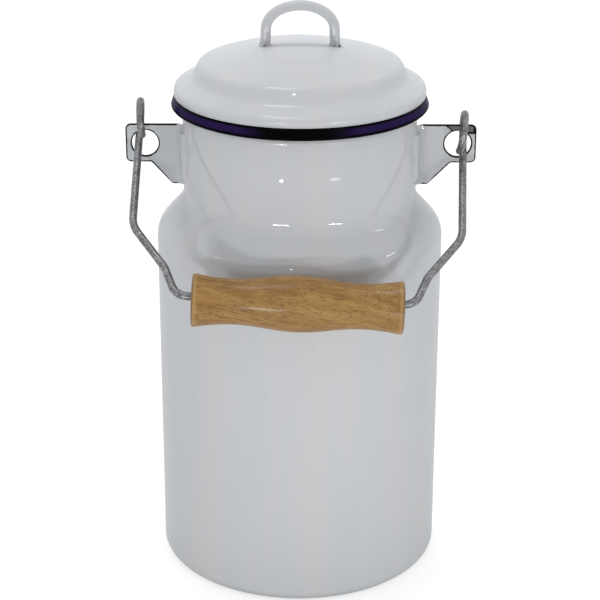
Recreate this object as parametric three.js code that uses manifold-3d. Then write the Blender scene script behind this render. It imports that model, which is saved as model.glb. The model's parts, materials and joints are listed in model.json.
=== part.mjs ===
// Enamel milk can with a lift-off lid and a swinging bail handle.
// Millimetres, +Z up, the base standing on z = 0 and the can's axis on the Z axis.
import * as THREE from 'three';
import { mergeVertices } from 'three/addons/utils/BufferGeometryUtils.js';
import Module from 'manifold-3d';

// Sheet and fits
const SHEET = 1.2;
const SEAT_GAP = 0.3;
const CUT_OVERRUN = 5;

// Can body: drawn wall, round shoulder and straight neck
const BODY_RADIUS = 65;
const BASE_CORNER_ROUND = 4.7;
const BASE_GROOVE_INSET = 16.5;
const BASE_GROOVE_WIDTH = 5;
const BASE_GROOVE_DEPTH = 1.2;
const BASE_GROOVE_SLOPE = 1.5;
const SHOULDER_HEIGHT = 162.3;
const SHOULDER_ROUND = 11.6;
const SHOULDER_RISE = 13.5;
const SHOULDER_INSET = 12.4;
const NECK_ROUND = 11.5;
const NECK_HEIGHT = 42.4;

// Mouth rim: the rolled dark edge of the neck
const MOUTH_BEAD_RADIUS = 1.5;
const MOUTH_BEAD_OVERHANG = 2.95;
const MOUTH_LIP_ROUND = 1.1;

// Lid: stepped dome with a flared dark edge that rests on the mouth bead
const LID_OVERHANG = 3.6;
const LID_EDGE_FLARE_ANGLE = THREE.MathUtils.degToRad(20);
const LID_EDGE_HEIGHT = 4.3;
const LID_EDGE_ROUND = 2;
const LID_WALL_HEIGHT = 3.9;
const LID_SHOULDER_ROUND = 3.5;
const LID_STEP_INSET = 8.3;
const LID_STEP_RISE = 4.4;
const LID_STEP_ROUND = 5;
const DOME_INSET = 2.5;
const DOME_WALL_HEIGHT = 5.75;
const DOME_ROUND = 4.5;
const DOME_CROWN_RISE = 8.4;

// Lid collar: the band that plugs into the neck
const COLLAR_CLEARANCE = 0.8;
const COLLAR_WALL = 1;
const COLLAR_DEPTH = 11.4;
const COLLAR_TOE_HEIGHT = 2.4;
const COLLAR_TOE_INSET = 0.8;

// Lid handle: a bent rod with both feet on the dome
const LID_ROD_RADIUS = 2.3;
const LID_ROD_HALF_SPAN = 15.5;
const LID_ROD_ARCH_HALF_SPAN = 15.1;
const LID_ROD_ARCH_RISE = 10.4;
const LID_ROD_RISE = 17;
const LID_ROD_ROOT = 4;

// Ears: bent sheet tabs with a round hole for the bail
const EAR_SHEET = 1.2;
const EAR_LEFT_LENGTH = 25.9;
const EAR_RIGHT_LENGTH = 26.8;
const EAR_DROP = 9.5;
const EAR_HEEL_CLEARANCE = 4.8;
const EAR_TAB_HEIGHT = 17.8;
const EAR_TAB_LENGTH = 11.4;
const EAR_ROOT_LENGTH = 5.2;
const EAR_CORNER_ROUND = 2.4;
const EAR_HEEL_ROUND = 2;
const EAR_FLANGE_WIDTH = 16;
const EAR_FLANGE_RISE = 5.1;
const EAR_BEND_ROUND = 2.6;
const EAR_HOLE_RADIUS = 6;
const EAR_LEFT_HOLE_INSET = 8.8;
const EAR_RIGHT_HOLE_INSET = 8.3;
const EAR_HOLE_DROP = 8.85;

// Bail: one length of round wire with an eye bent at each end
const WIRE_RADIUS = 1.75;
const EYE_RADIUS = 8.4;
const EYE_LEFT_TURN = THREE.MathUtils.degToRad(278);
const EYE_RIGHT_TURN = THREE.MathUtils.degToRad(300);
const EYE_PITCH = 3.2;
const EYE_FORWARD = 2;
const EYE_LEFT_OUT_SHARE = 0.62;
const EYE_RIGHT_OUT_SHARE = 0.74;
const EYE_LEFT_LIFT_SHARE = 0.76;
const EYE_RIGHT_LIFT_SHARE = -0.66;
const BAIL_DROP = 45.5;
const LEG_LEFT_TOE_IN = 0.9;
const LEG_RIGHT_TOE_IN = 1.9;
const LEG_BEND_SETBACK = 37.6;
const LEG_BEND_ROUND = 16;
const ELBOW_SETBACK = 15;
const ELBOW_FLARE = 5.7;
const ELBOW_ROUND = 12;
const THROAT_CLEARANCE = 5.75;
const THROAT_ROUND = 7.5;
const BAIL_RUN_SHIFT = -0.5;

// Grip: turned wood with a waist near each end
const GRIP_LENGTH = 89.6;
const GRIP_BELLY_RADIUS = 12;
const GRIP_WAIST_RADIUS = 9.7;
const GRIP_WAIST_OFFSET = 27;
const GRIP_END_RADIUS = 11.4;
const GRIP_END_ROUND = 1.8;
const GRIP_BORE_RADIUS = 3.6;
const GRIP_SLIDE = 1;

// Facet counts
const TURNED_STEPS = 48;
const GRIP_STEPS = 24;
const ARC_STEPS = 4;
const CROWN_STEPS = 4;
const EYE_STEPS = 16;
const WIRE_SIDES = 10;
const ROD_SIDES = 12;
const HOLE_STEPS = 28;
const BEAD_STEPS = 8;
const ROD_ARCH_STEPS = 10;
const GRIP_CURVE_STEPS = 5;
const ROUND_LIMIT_SHARE = 0.45;

// Places that several pieces share
const neckRadius = BODY_RADIUS - SHOULDER_INSET;
const neckInnerRadius = neckRadius - SHEET;
const neckFoot = SHOULDER_HEIGHT + SHOULDER_RISE;
const mouthHeight = neckFoot + NECK_HEIGHT;
const beadCentre = new THREE.Vector2(
  neckRadius + MOUTH_BEAD_OVERHANG - MOUTH_BEAD_RADIUS,
  mouthHeight + SEAT_GAP + MOUTH_BEAD_RADIUS,
);
const lidRadius = neckRadius + LID_OVERHANG;
const lidEdge = lidEdgeLine();
const lidBase = lidEdge.toe.y + LID_EDGE_HEIGHT;
const lidShoulder = lidBase + LID_WALL_HEIGHT;
const lidStep = lidShoulder + LID_STEP_RISE;
const domeEdge = lidStep + DOME_WALL_HEIGHT;
const lidTop = domeEdge + DOME_CROWN_RISE;
const lidStepRadius = lidRadius - LID_STEP_INSET;
const domeRadius = lidStepRadius - DOME_INSET;
const earTop = mouthHeight - EAR_DROP;
const earHeel = neckFoot + EAR_HEEL_CLEARANCE;
const holeCentre = (earLength, inset) =>
  new THREE.Vector2(neckRadius + earLength - inset, earTop - EAR_HOLE_DROP);
const leftHole = holeCentre(EAR_LEFT_LENGTH, EAR_LEFT_HOLE_INSET);
const rightHole = holeCentre(EAR_RIGHT_LENGTH, EAR_RIGHT_HOLE_INSET);
const bail = bailPlacement();

// Material colours
const whiteEnamel = () => new THREE.MeshStandardMaterial({ color: 0xe6ebee, roughness: 0.16, metalness: 0 });
const blueEnamel = () => new THREE.MeshStandardMaterial({ color: 0x150f33, roughness: 0.18, metalness: 0 });
const zincWire = () => new THREE.MeshStandardMaterial({ color: 0x7d8084, roughness: 0.5, metalness: 0.8 });
const beech = () => new THREE.MeshStandardMaterial({ color: 0xc98d58, roughness: 0.55, metalness: 0 });

// The flared edge's inner face lies a seat gap off the mouth bead. Its toe is
// the middle of the rounded lower lip, and its knee is where the flare meets the lid's wall.
function lidEdgeLine() {
  const flare = new THREE.Vector2(Math.cos(LID_EDGE_FLARE_ANGLE), Math.sin(LID_EDGE_FLARE_ANGLE));
  const touch = beadCentre.clone().addScaledVector(flare, MOUTH_BEAD_RADIUS + SEAT_GAP + SHEET / 2);
  const toeHeight = beadCentre.y - MOUTH_BEAD_RADIUS + SHEET / 2;
  const slope = Math.tan(LID_EDGE_FLARE_ANGLE);
  const kneeRadius = lidRadius - SHEET / 2;
  return {
    toe: new THREE.Vector2(touch.x + (touch.y - toeHeight) * slope, toeHeight),
    knee: new THREE.Vector2(kneeRadius, touch.y + (touch.x - kneeRadius) / slope),
  };
}

// How the bail lies at rest. The hinge line joins the middles of the two eyes. Each eye's ring
// passes through its ear's hole off the hole's middle, higher on the left, so the bail hangs
// a little askew. The legs leave the rings at a tangent and slope down to the grip.
function bailPlacement() {
  const wirePlay = EAR_HOLE_RADIUS - WIRE_RADIUS - SEAT_GAP;
  const ringRise = Math.sqrt(EYE_RADIUS ** 2 - EYE_FORWARD ** 2);
  const seat = (hole, outShare, liftShare) =>
    hole.clone().add(new THREE.Vector2(outShare, liftShare).multiplyScalar(wirePlay));
  const left = seat(leftHole, EYE_LEFT_OUT_SHARE, EYE_LEFT_LIFT_SHARE);
  const right = seat(rightHole, EYE_RIGHT_OUT_SHARE, EYE_RIGHT_LIFT_SHARE);
  const forward = BODY_RADIUS + GRIP_BELLY_RADIUS + SEAT_GAP - EYE_FORWARD;
  const drop = BAIL_DROP + ringRise;
  const length = Math.hypot(forward, drop);
  return {
    hinge: new THREE.Vector3((right.x - left.x) / 2, -EYE_FORWARD, (left.y + right.y) / 2 + ringRise),
    halfSpan: (left.x + right.x) / 2,
    tilt: Math.asin((left.y - right.y) / (left.x + right.x)),
    reach: Math.sqrt(length ** 2 - EYE_RADIUS ** 2),
    restTurn: Math.PI - Math.atan2(forward, drop) - Math.asin(EYE_RADIUS / length),
  };
}

// Corners given as [x, y, round] become points, each rounded corner an arc.
// A round is limited by the edges beside it. A closed outline rounds its first corner too.
function roundedOutline(corners, closed = false) {
  const count = corners.length;
  const place = (i) => new THREE.Vector2(...corners[(i + count) % count].slice(0, 2));
  return corners.flatMap(([, , round = 0], i) => {
    const corner = place(i);
    const isEnd = !closed && (i === 0 || i === count - 1);
    if (!round || isEnd) return [corner];
    const back = place(i - 1).sub(corner);
    const on = place(i + 1).sub(corner);
    const limit = Math.min(back.length(), on.length()) * ROUND_LIMIT_SHARE;
    back.normalize();
    on.normalize();
    const turn = Math.PI - Math.acos(THREE.MathUtils.clamp(back.dot(on), -1, 1));
    const setback = Math.min(round * Math.tan(turn / 2), limit);
    const radius = setback / Math.tan(turn / 2);
    const middle = back.clone().add(on).normalize();
    const centre = corner.clone().addScaledVector(middle, radius / Math.cos(turn / 2));
    const start = corner.clone().addScaledVector(back, setback);
    const way = Math.sign(on.cross(back));
    return Array.from({ length: ARC_STEPS + 1 }, (_, k) =>
      start.clone().rotateAround(centre, (way * turn * k) / ARC_STEPS));
  });
}

// The same line moved to its left by a distance, with mitred corners. Points on the axis stay on it.
function offsetLeft(points, distance) {
  return points.map((point, i) => {
    const before = points[Math.max(i - 1, 0)];
    const after = points[Math.min(i + 1, points.length - 1)];
    const arriving = point.clone().sub(before).normalize();
    const leaving = after.clone().sub(point).normalize();
    if (i === 0) arriving.copy(leaving);
    if (i === points.length - 1) leaving.copy(arriving);
    const heading = arriving.clone().add(leaving).normalize();
    const mitre = distance / heading.dot(leaving);
    const moved = new THREE.Vector2(point.x - heading.y * mitre, point.y + heading.x * mitre);
    if (point.x === 0) moved.set(0, point.y + distance * Math.sign(heading.x));
    return moved;
  });
}

// A profile of radius and height turned round the Z axis
function turned(profile, steps = TURNED_STEPS) {
  return new THREE.LatheGeometry(profile, steps).rotateX(Math.PI / 2);
}

const closeRing = (profile) => [...profile, profile[0].clone()];

// A rod swept along a list of points, with a section at each point square to the line
class RodLine extends THREE.Curve {
  constructor(points) {
    super();
    this.points = points;
  }

  index(t) {
    return Math.round(t * (this.points.length - 1));
  }

  getUtoTmapping(u) {
    return u;
  }

  getPoint(t) {
    return this.points[this.index(t)].clone();
  }

  getTangent(t) {
    const i = this.index(t);
    const here = this.points[i];
    const before = this.points[Math.max(i - 1, 0)];
    const after = this.points[Math.min(i + 1, this.points.length - 1)];
    const arriving = here.clone().sub(before).normalize();
    const leaving = after.clone().sub(here).normalize();
    return arriving.add(leaving).normalize();
  }
}

function rod(points, radius, sides) {
  const section = new THREE.Shape(Array.from({ length: sides }, (_, k) => {
    const angle = (2 * Math.PI * k) / sides;
    return new THREE.Vector2(radius * Math.cos(angle), radius * Math.sin(angle));
  }));
  return new THREE.ExtrudeGeometry(section, {
    extrudePath: new RodLine(points),
    steps: points.length - 1,
    bevelEnabled: false,
  });
}

// Solids for cutting and joining
const wasm = await Module();
wasm.setup();

function solid(geometry) {
  const bare = geometry.clone();
  bare.deleteAttribute('normal');
  bare.deleteAttribute('uv');
  const merged = mergeVertices(bare);
  return new wasm.Manifold(new wasm.Mesh({
    numProp: 3,
    vertProperties: new Float32Array(merged.attributes.position.array),
    triVerts: new Uint32Array(merged.index.array),
  }));
}

function geometryOf(manifold) {
  const mesh = manifold.getMesh();
  const geometry = new THREE.BufferGeometry();
  geometry.setAttribute('position', new THREE.BufferAttribute(mesh.vertProperties, mesh.numProp));
  geometry.setIndex(new THREE.BufferAttribute(mesh.triVerts, 1));
  return geometry;
}

// Can body: one drawn sheet, flat base with a pressed ring, wall, shoulder and neck
function canBody() {
  const grooveRadius = BODY_RADIUS - BASE_GROOVE_INSET;
  const grooveIn = grooveRadius - BASE_GROOVE_WIDTH / 2;
  const grooveOut = grooveRadius + BASE_GROOVE_WIDTH / 2;
  const outer = roundedOutline([
    [0, 0],
    [grooveIn, 0],
    [grooveIn + BASE_GROOVE_SLOPE, BASE_GROOVE_DEPTH],
    [grooveOut - BASE_GROOVE_SLOPE, BASE_GROOVE_DEPTH],
    [grooveOut, 0],
    [BODY_RADIUS, 0, BASE_CORNER_ROUND],
    [BODY_RADIUS, SHOULDER_HEIGHT, SHOULDER_ROUND],
    [neckRadius, neckFoot, NECK_ROUND],
    [neckRadius, mouthHeight],
  ]);
  return turned([...outer, ...offsetLeft(outer, SHEET).reverse()]);
}

// Mouth rim: a rolled bead outside, flush with the neck's wall inside
function mouthRim() {
  const bottom = mouthHeight + SEAT_GAP;
  const top = bottom + 2 * MOUTH_BEAD_RADIUS;
  const bead = Array.from({ length: BEAD_STEPS + 1 }, (_, k) => {
    const angle = -Math.PI / 2 + (Math.PI * k) / BEAD_STEPS;
    const way = new THREE.Vector2(Math.cos(angle), Math.sin(angle));
    return way.multiplyScalar(MOUTH_BEAD_RADIUS).add(beadCentre);
  });
  const lip = roundedOutline([
    [beadCentre.x, top],
    [neckInnerRadius, top, MOUTH_LIP_ROUND],
    [neckInnerRadius, bottom],
  ]);
  return turned(closeRing([...bead, ...lip.slice(1)]));
}

// The lid's outer line from its wall's lower edge up to the top of the dome
function lidOuterLine() {
  const crownRadius = (domeRadius ** 2 + DOME_CROWN_RISE ** 2) / (2 * DOME_CROWN_RISE);
  const crown = Array.from({ length: CROWN_STEPS }, (_, k) => {
    const radius = domeRadius * (1 - (k + 1) / CROWN_STEPS);
    const sag = crownRadius - Math.sqrt(crownRadius ** 2 - radius ** 2);
    return [radius, lidTop - sag];
  });
  return roundedOutline([
    [lidRadius, lidBase + SEAT_GAP],
    [lidRadius, lidShoulder, LID_SHOULDER_ROUND],
    [lidStepRadius, lidStep, LID_STEP_ROUND],
    [domeRadius, domeEdge, DOME_ROUND],
    ...crown,
  ]);
}

// Lid shell: one pressed sheet, open below
function lidShell() {
  const outer = lidOuterLine();
  return turned([...offsetLeft(outer, SHEET).reverse(), ...outer]);
}

// Lid rim: the sheet's dark lower edge, flared over the mouth bead
function lidRim() {
  const outer = roundedOutline([
    [lidEdge.toe.x, lidEdge.toe.y],
    [lidEdge.knee.x, lidEdge.knee.y, LID_EDGE_ROUND],
    [lidEdge.knee.x, lidBase],
  ]);
  const outside = offsetLeft(outer, -SHEET / 2);
  const inside = offsetLeft(outer, SHEET / 2);
  const lip = Array.from({ length: ARC_STEPS - 1 }, (_, k) =>
    inside[0].clone().rotateAround(lidEdge.toe, (Math.PI * (k + 1)) / ARC_STEPS));
  return turned(closeRing([...lip, ...outside, ...inside.reverse()]));
}

// Lid collar: its top follows the underside of the lid's step, and its toe leads into the neck
function lidCollar() {
  const radius = neckInnerRadius - COLLAR_CLEARANCE;
  const slope = LID_STEP_RISE / (lidRadius - lidStepRadius);
  const drop = (SHEET + SEAT_GAP) * Math.hypot(1, slope);
  const underside = (r) => lidShoulder + (lidRadius - r) * slope - drop;
  const inner = radius - COLLAR_WALL;
  const toe = lidBase - COLLAR_DEPTH;
  const profile = [
    [radius - COLLAR_TOE_INSET, toe],
    [radius, toe + COLLAR_TOE_HEIGHT],
    [radius, underside(radius)],
    [inner, underside(inner)],
    [inner, toe + COLLAR_TOE_HEIGHT],
    [inner - COLLAR_TOE_INSET, toe],
  ].map(([r, z]) => new THREE.Vector2(r, z));
  return turned(closeRing(profile));
}

// Lid handle: a rod bent to an elliptic arch on two feet, which are cut to the dome's curve
function lidHandle() {
  const spring = lidTop + LID_ROD_RISE - LID_ROD_ARCH_RISE;
  const arch = Array.from({ length: ROD_ARCH_STEPS + 1 }, (_, k) => {
    const angle = Math.PI * (1 - k / ROD_ARCH_STEPS);
    return new THREE.Vector3(
      LID_ROD_ARCH_HALF_SPAN * Math.cos(angle),
      0,
      spring + LID_ROD_ARCH_RISE * Math.sin(angle),
    );
  });
  const foot = (x) => new THREE.Vector3(x, 0, lidTop - LID_ROD_ROOT);
  const route = [foot(-LID_ROD_HALF_SPAN), ...arch, foot(LID_ROD_HALF_SPAN)];
  const dome = offsetLeft(lidOuterLine(), -SEAT_GAP);
  const under = turned([new THREE.Vector2(0, lidBase), ...dome]);
  return geometryOf(solid(rod(route, LID_ROD_RADIUS, ROD_SIDES)).subtract(solid(under)));
}

// Ear, on the +X side: bent sheet seen from above, cut to its outline seen from the front.
// The flange follows the neck, and its lower edge climbs away from the tab's heel.
function ear(length, hole) {
  const reach = neckRadius + length;
  const flangeRadius = neckRadius + SEAT_GAP + EAR_SHEET / 2;
  const bendAngle = EAR_BEND_ROUND / flangeRadius;
  const flangeAngle = EAR_FLANGE_WIDTH / flangeRadius;
  const bendCentre = new THREE.Vector2(
    (flangeRadius + EAR_BEND_ROUND) * Math.cos(bendAngle),
    -EAR_BEND_ROUND,
  );
  const flange = Array.from({ length: ARC_STEPS + 1 }, (_, k) => {
    const angle = -flangeAngle + ((flangeAngle - bendAngle) * k) / ARC_STEPS;
    return new THREE.Vector2(flangeRadius * Math.cos(angle), flangeRadius * Math.sin(angle));
  });
  const bend = Array.from({ length: ARC_STEPS }, (_, k) => {
    const angle = Math.PI - ((Math.PI / 2) * (k + 1)) / ARC_STEPS;
    return bendCentre.clone().add(new THREE.Vector2(Math.cos(angle), Math.sin(angle))
      .multiplyScalar(EAR_BEND_ROUND));
  });
  const line = [...flange, ...bend, new THREE.Vector2(reach, 0)];
  const left = offsetLeft(line, EAR_SHEET / 2);
  const right = offsetLeft(line, -EAR_SHEET / 2);
  const plan = new THREE.Shape([...right, ...left.reverse()]);
  const sheet = new THREE.ExtrudeGeometry(plan, { depth: earTop - earHeel, bevelEnabled: false });
  sheet.translate(0, 0, earHeel);

  const tabBottom = earTop - EAR_TAB_HEIGHT;
  const flangeOuter = flangeRadius + EAR_SHEET;
  const outline = roundedOutline([
    [0, earHeel + EAR_FLANGE_RISE],
    [0, earTop + CUT_OVERRUN],
    [flangeOuter, earTop + CUT_OVERRUN],
    [flangeOuter, earTop],
    [reach, earTop, EAR_CORNER_ROUND],
    [reach, tabBottom, EAR_CORNER_ROUND],
    [reach - EAR_TAB_LENGTH, tabBottom],
    [neckRadius + EAR_ROOT_LENGTH, earHeel, EAR_HEEL_ROUND],
    [flangeOuter, earHeel],
    [flangeRadius * Math.cos(flangeAngle), earHeel + EAR_FLANGE_RISE],
  ], true);
  const front = new THREE.Shape(outline);
  front.holes.push(new THREE.Path(Array.from({ length: HOLE_STEPS }, (_, k) => {
    const angle = (2 * Math.PI * k) / HOLE_STEPS;
    return new THREE.Vector2(Math.cos(angle), Math.sin(angle)).multiplyScalar(EAR_HOLE_RADIUS).add(hole);
  })));
  const depth = 2 * (EAR_FLANGE_WIDTH + EAR_SHEET);
  const cutter = new THREE.ExtrudeGeometry(front, { depth, bevelEnabled: false });
  cutter.translate(0, 0, -depth / 2).rotateX(Math.PI / 2);
  return geometryOf(solid(sheet).intersect(solid(cutter)));
}

// The left ear is a mirrored one, with its faces turned to point out again
function mirrored(geometry) {
  geometry.scale(-1, 1, 1);
  const order = geometry.index.array;
  for (let i = 0; i < order.length; i += 3) [order[i], order[i + 1]] = [order[i + 1], order[i]];
  return geometry;
}

// Bail wire, standing upright with its hinge line on X: eye, leg, grip run, leg, eye.
// Each eye is one open turn that steps inwards ever faster, with the leg in front of its middle.
function bailHalf(eyeTurn, toeIn, runShift) {
  const { halfSpan, reach } = bail;
  const eye = Array.from({ length: EYE_STEPS + 1 }, (_, k) => {
    const angle = eyeTurn * (1 - k / EYE_STEPS);
    const inset = EYE_PITCH * (angle / (2 * Math.PI)) ** 2;
    return new THREE.Vector3(inset - halfSpan, -EYE_RADIUS * Math.cos(angle), -EYE_RADIUS * Math.sin(angle));
  });
  const throat = GRIP_LENGTH / 2 + THROAT_CLEARANCE;
  const leg = roundedOutline([
    [-halfSpan, 0],
    [toeIn - halfSpan, reach - LEG_BEND_SETBACK, LEG_BEND_ROUND],
    [runShift - throat - ELBOW_FLARE, reach - ELBOW_SETBACK, ELBOW_ROUND],
    [runShift - throat, reach, THROAT_ROUND],
    [runShift, reach],
  ]).slice(1, -1).map(({ x, y }) => new THREE.Vector3(x, -EYE_RADIUS, y));
  return [...eye, ...leg];
}

function bailWire() {
  const left = bailHalf(EYE_LEFT_TURN, LEG_LEFT_TOE_IN, BAIL_RUN_SHIFT);
  const right = bailHalf(EYE_RIGHT_TURN, LEG_RIGHT_TOE_IN, -BAIL_RUN_SHIFT)
    .map(({ x, y, z }) => new THREE.Vector3(-x, y, z)).reverse();
  return rod([...left, ...right], WIRE_RADIUS, WIRE_SIDES);
}

// Grip, lying along X: belly, two waists and rounded ends round a through bore
function grip() {
  const half = GRIP_LENGTH / 2;
  const endStart = half - GRIP_END_ROUND;
  const bellyCurve = Array.from({ length: GRIP_CURVE_STEPS }, (_, k) => {
    const share = k / GRIP_CURVE_STEPS;
    const fall = (GRIP_BELLY_RADIUS - GRIP_WAIST_RADIUS) * (1 - Math.cos(Math.PI * share)) / 2;
    return new THREE.Vector2(GRIP_BELLY_RADIUS - fall, GRIP_WAIST_OFFSET * share);
  });
  const endCurve = Array.from({ length: GRIP_CURVE_STEPS }, (_, k) => {
    const share = k / GRIP_CURVE_STEPS;
    const rise = (GRIP_END_RADIUS - GRIP_WAIST_RADIUS) * share ** 2;
    const offset = GRIP_WAIST_OFFSET + (endStart - GRIP_WAIST_OFFSET) * share;
    return new THREE.Vector2(GRIP_WAIST_RADIUS + rise, offset);
  });
  const end = Array.from({ length: ARC_STEPS + 1 }, (_, k) => {
    const angle = (Math.PI / 2) * (k / ARC_STEPS);
    return new THREE.Vector2(
      GRIP_END_RADIUS - GRIP_END_ROUND * (1 - Math.cos(angle)),
      endStart + GRIP_END_ROUND * Math.sin(angle),
    );
  });
  const right = [...bellyCurve, ...endCurve, ...end, new THREE.Vector2(GRIP_BORE_RADIUS, half)];
  const left = right.slice(1).map(({ x, y }) => new THREE.Vector2(x, -y)).reverse();
  return new THREE.LatheGeometry(closeRing([...left, ...right]), GRIP_STEPS).rotateZ(-Math.PI / 2);
}

// Assembly
function piece(name, geometry, material) {
  const mesh = new THREE.Mesh(geometry, material);
  mesh.name = name;
  return mesh;
}

const can = new THREE.Group();
can.add(
  piece('can_body', canBody(), whiteEnamel()),
  piece('mouth_rim', mouthRim(), blueEnamel()),
  piece('left_ear', mirrored(ear(EAR_LEFT_LENGTH, leftHole)), whiteEnamel()),
  piece('right_ear', ear(EAR_RIGHT_LENGTH, rightHole), whiteEnamel()),
);

const lid = new THREE.Group();
lid.add(
  piece('lid_shell', lidShell(), whiteEnamel()),
  piece('lid_rim', lidRim(), blueEnamel()),
  piece('lid_collar', lidCollar(), whiteEnamel()),
  piece('lid_handle', lidHandle(), whiteEnamel()),
);

// The bail lies forward, its grip against the front of the can, and the grip hangs down on the wire
const hinge = new THREE.Group();
hinge.position.copy(bail.hinge);
hinge.rotation.y = bail.tilt;
const swing = new THREE.Group();
swing.rotation.x = bail.restTurn;
const gripPiece = piece('grip', grip(), beech());
const gripSag = GRIP_BORE_RADIUS - WIRE_RADIUS - SEAT_GAP;
gripPiece.position.set(
  BAIL_RUN_SHIFT + GRIP_SLIDE,
  -EYE_RADIUS - gripSag * Math.sin(bail.restTurn),
  bail.reach - gripSag * Math.cos(bail.restTurn),
);
swing.add(piece('bail_wire', bailWire(), zincWire()), gripPiece);
hinge.add(swing);

const milkCan = new THREE.Group();
milkCan.add(can, lid, hinge);

export default milkCan;
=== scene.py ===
# Enamel milk can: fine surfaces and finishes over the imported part. Metres, +Z up, base on z = 0.
import json

import bmesh
import bpy
import numpy as np
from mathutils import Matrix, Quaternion, Vector


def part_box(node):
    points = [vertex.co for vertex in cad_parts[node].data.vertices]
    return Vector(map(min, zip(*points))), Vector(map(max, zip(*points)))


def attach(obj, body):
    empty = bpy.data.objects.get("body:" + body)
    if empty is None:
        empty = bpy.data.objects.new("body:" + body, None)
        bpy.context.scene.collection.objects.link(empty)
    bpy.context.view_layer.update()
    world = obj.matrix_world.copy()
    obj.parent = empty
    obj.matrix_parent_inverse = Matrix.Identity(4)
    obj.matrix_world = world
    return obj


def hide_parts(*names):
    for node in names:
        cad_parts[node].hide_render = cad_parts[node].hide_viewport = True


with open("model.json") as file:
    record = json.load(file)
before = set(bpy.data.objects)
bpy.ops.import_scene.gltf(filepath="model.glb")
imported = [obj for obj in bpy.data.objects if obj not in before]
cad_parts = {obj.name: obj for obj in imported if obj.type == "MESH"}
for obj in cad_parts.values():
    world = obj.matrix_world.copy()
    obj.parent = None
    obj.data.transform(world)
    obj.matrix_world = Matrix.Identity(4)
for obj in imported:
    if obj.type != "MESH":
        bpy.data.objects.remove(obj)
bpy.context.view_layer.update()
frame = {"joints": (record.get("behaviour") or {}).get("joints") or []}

# Can body. One steel sheet, deep drawn to a flat base with a pressed ring, a straight wall, a round
# shoulder and a neck. It is dipped in white enamel and fired, which leaves the surface glossy,
# faintly wavy and with a few pinhead specks.
SHEET = 0.0012
BASE_CORNER_ROUND = 0.0047
BASE_GROOVE_RADIUS = 0.0485
BASE_GROOVE_HALF_WIDTH = 0.0025
BASE_GROOVE_DEPTH = 0.0012
BASE_GROOVE_SLOPE = 0.0015
BASE_GROOVE_ROUND = 0.0008
SHOULDER_HEIGHT = 0.1623
SHOULDER_ROUND = 0.0116
SHOULDER_RISE = 0.0135
NECK_RADIUS = 0.0526
NECK_ROUND = 0.0115
TURNED_SIDES = 192
ARC_STEPS = 16
LINE_SPACING = 0.003
ROUND_LIMIT_SHARE = 0.45
SAME_POINT = 1e-7
LEAST_SPACING = 1e-6
NEAR_ZERO = 1e-9
WHITE_COOL = (0.58, 0.61, 0.645)
WHITE_NEUTRAL = (0.615, 0.62, 0.635)
RUNS_DRAWN_OUT = (1, 1, 0.12)
RUNS_PER_METRE = 60
RUNS_FADE = (0.3, 0.7)
SPECK_TONE = (0.09, 0.08, 0.08)
SPECK_SIZE = 0.0005
SPECKS_PER_METRE = 70
SPECK_STRENGTH = 0.5
SPECK_OUTER_SHARE = 0.7
SPECK_INNER_SHARE = 0.4
WAVE_HEIGHT = 0.00010
WAVES_PER_METRE = 34
RIPPLE_HEIGHT = 0.0000035
RIPPLES_PER_METRE = 950
WHITE_GLOSS = 0.30
ENAMEL_INDEX = 2.0
ENAMEL_HAZE = 0.02
GROUND_ROUGHNESS = 0.4

body_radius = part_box("can_body")[1].x
mouth_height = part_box("can_body")[1].z


def rounded_line(corners, closed=False):
    """Corners (x, y, round) joined by a line, with an arc at each rounded corner. An arc starts and ends
    round * tan(turn / 2) from its corner, or at a share of the shorter edge if that is less."""
    corners = np.array(corners, float)
    place = corners[:, :2]
    rounds = corners[:, 2].copy()
    if not closed:
        rounds[[0, -1]] = 0
    back = np.roll(place, 1, axis=0) - place
    on = np.roll(place, -1, axis=0) - place
    back_length = np.linalg.norm(back, axis=1)
    on_length = np.linalg.norm(on, axis=1)
    back /= back_length[:, None]
    on /= on_length[:, None]
    turn = np.pi - np.arccos(np.clip((back * on).sum(1), -1, 1))
    half_tangent = np.maximum(np.tan(turn / 2), NEAR_ZERO)
    setback = np.minimum(rounds * half_tangent, np.minimum(back_length, on_length) * ROUND_LIMIT_SHARE)
    middle = back + on
    middle /= np.maximum(np.linalg.norm(middle, axis=1), NEAR_ZERO)[:, None]
    reach = np.where(rounds > 0, setback / half_tangent / np.cos(turn / 2), 0)
    centre = place + middle * reach[:, None]
    way = np.sign(on[:, 0] * back[:, 1] - on[:, 1] * back[:, 0])
    angle = (way * turn)[:, None] * np.linspace(0, 1, ARC_STEPS + 1)
    spoke = place + back * setback[:, None] - centre
    x = centre[:, :1] + spoke[:, :1] * np.cos(angle) - spoke[:, 1:] * np.sin(angle)
    y = centre[:, 1:] + spoke[:, :1] * np.sin(angle) + spoke[:, 1:] * np.cos(angle)
    line = np.stack([x, y], axis=-1).reshape(-1, 2)
    step = np.linalg.norm(np.diff(line, axis=0), axis=1)
    return line[np.r_[True, step > SAME_POINT]]


def run_of(line):
    """How far along a line each of its points lies."""
    return np.r_[0, np.cumsum(np.linalg.norm(np.diff(line, axis=0), axis=1))]


def spaced(line, spacing=LINE_SPACING):
    """The same line with points added, so that none lie further apart than the spacing."""
    run = run_of(line)
    stops = np.union1d(run, np.linspace(0, run[-1], int(run[-1] / spacing) + 2))
    stops = stops[np.r_[True, np.diff(stops) > LEAST_SPACING]]
    return np.stack([np.interp(stops, run, line[:, k]) for k in range(line.shape[1])], axis=1)


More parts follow.
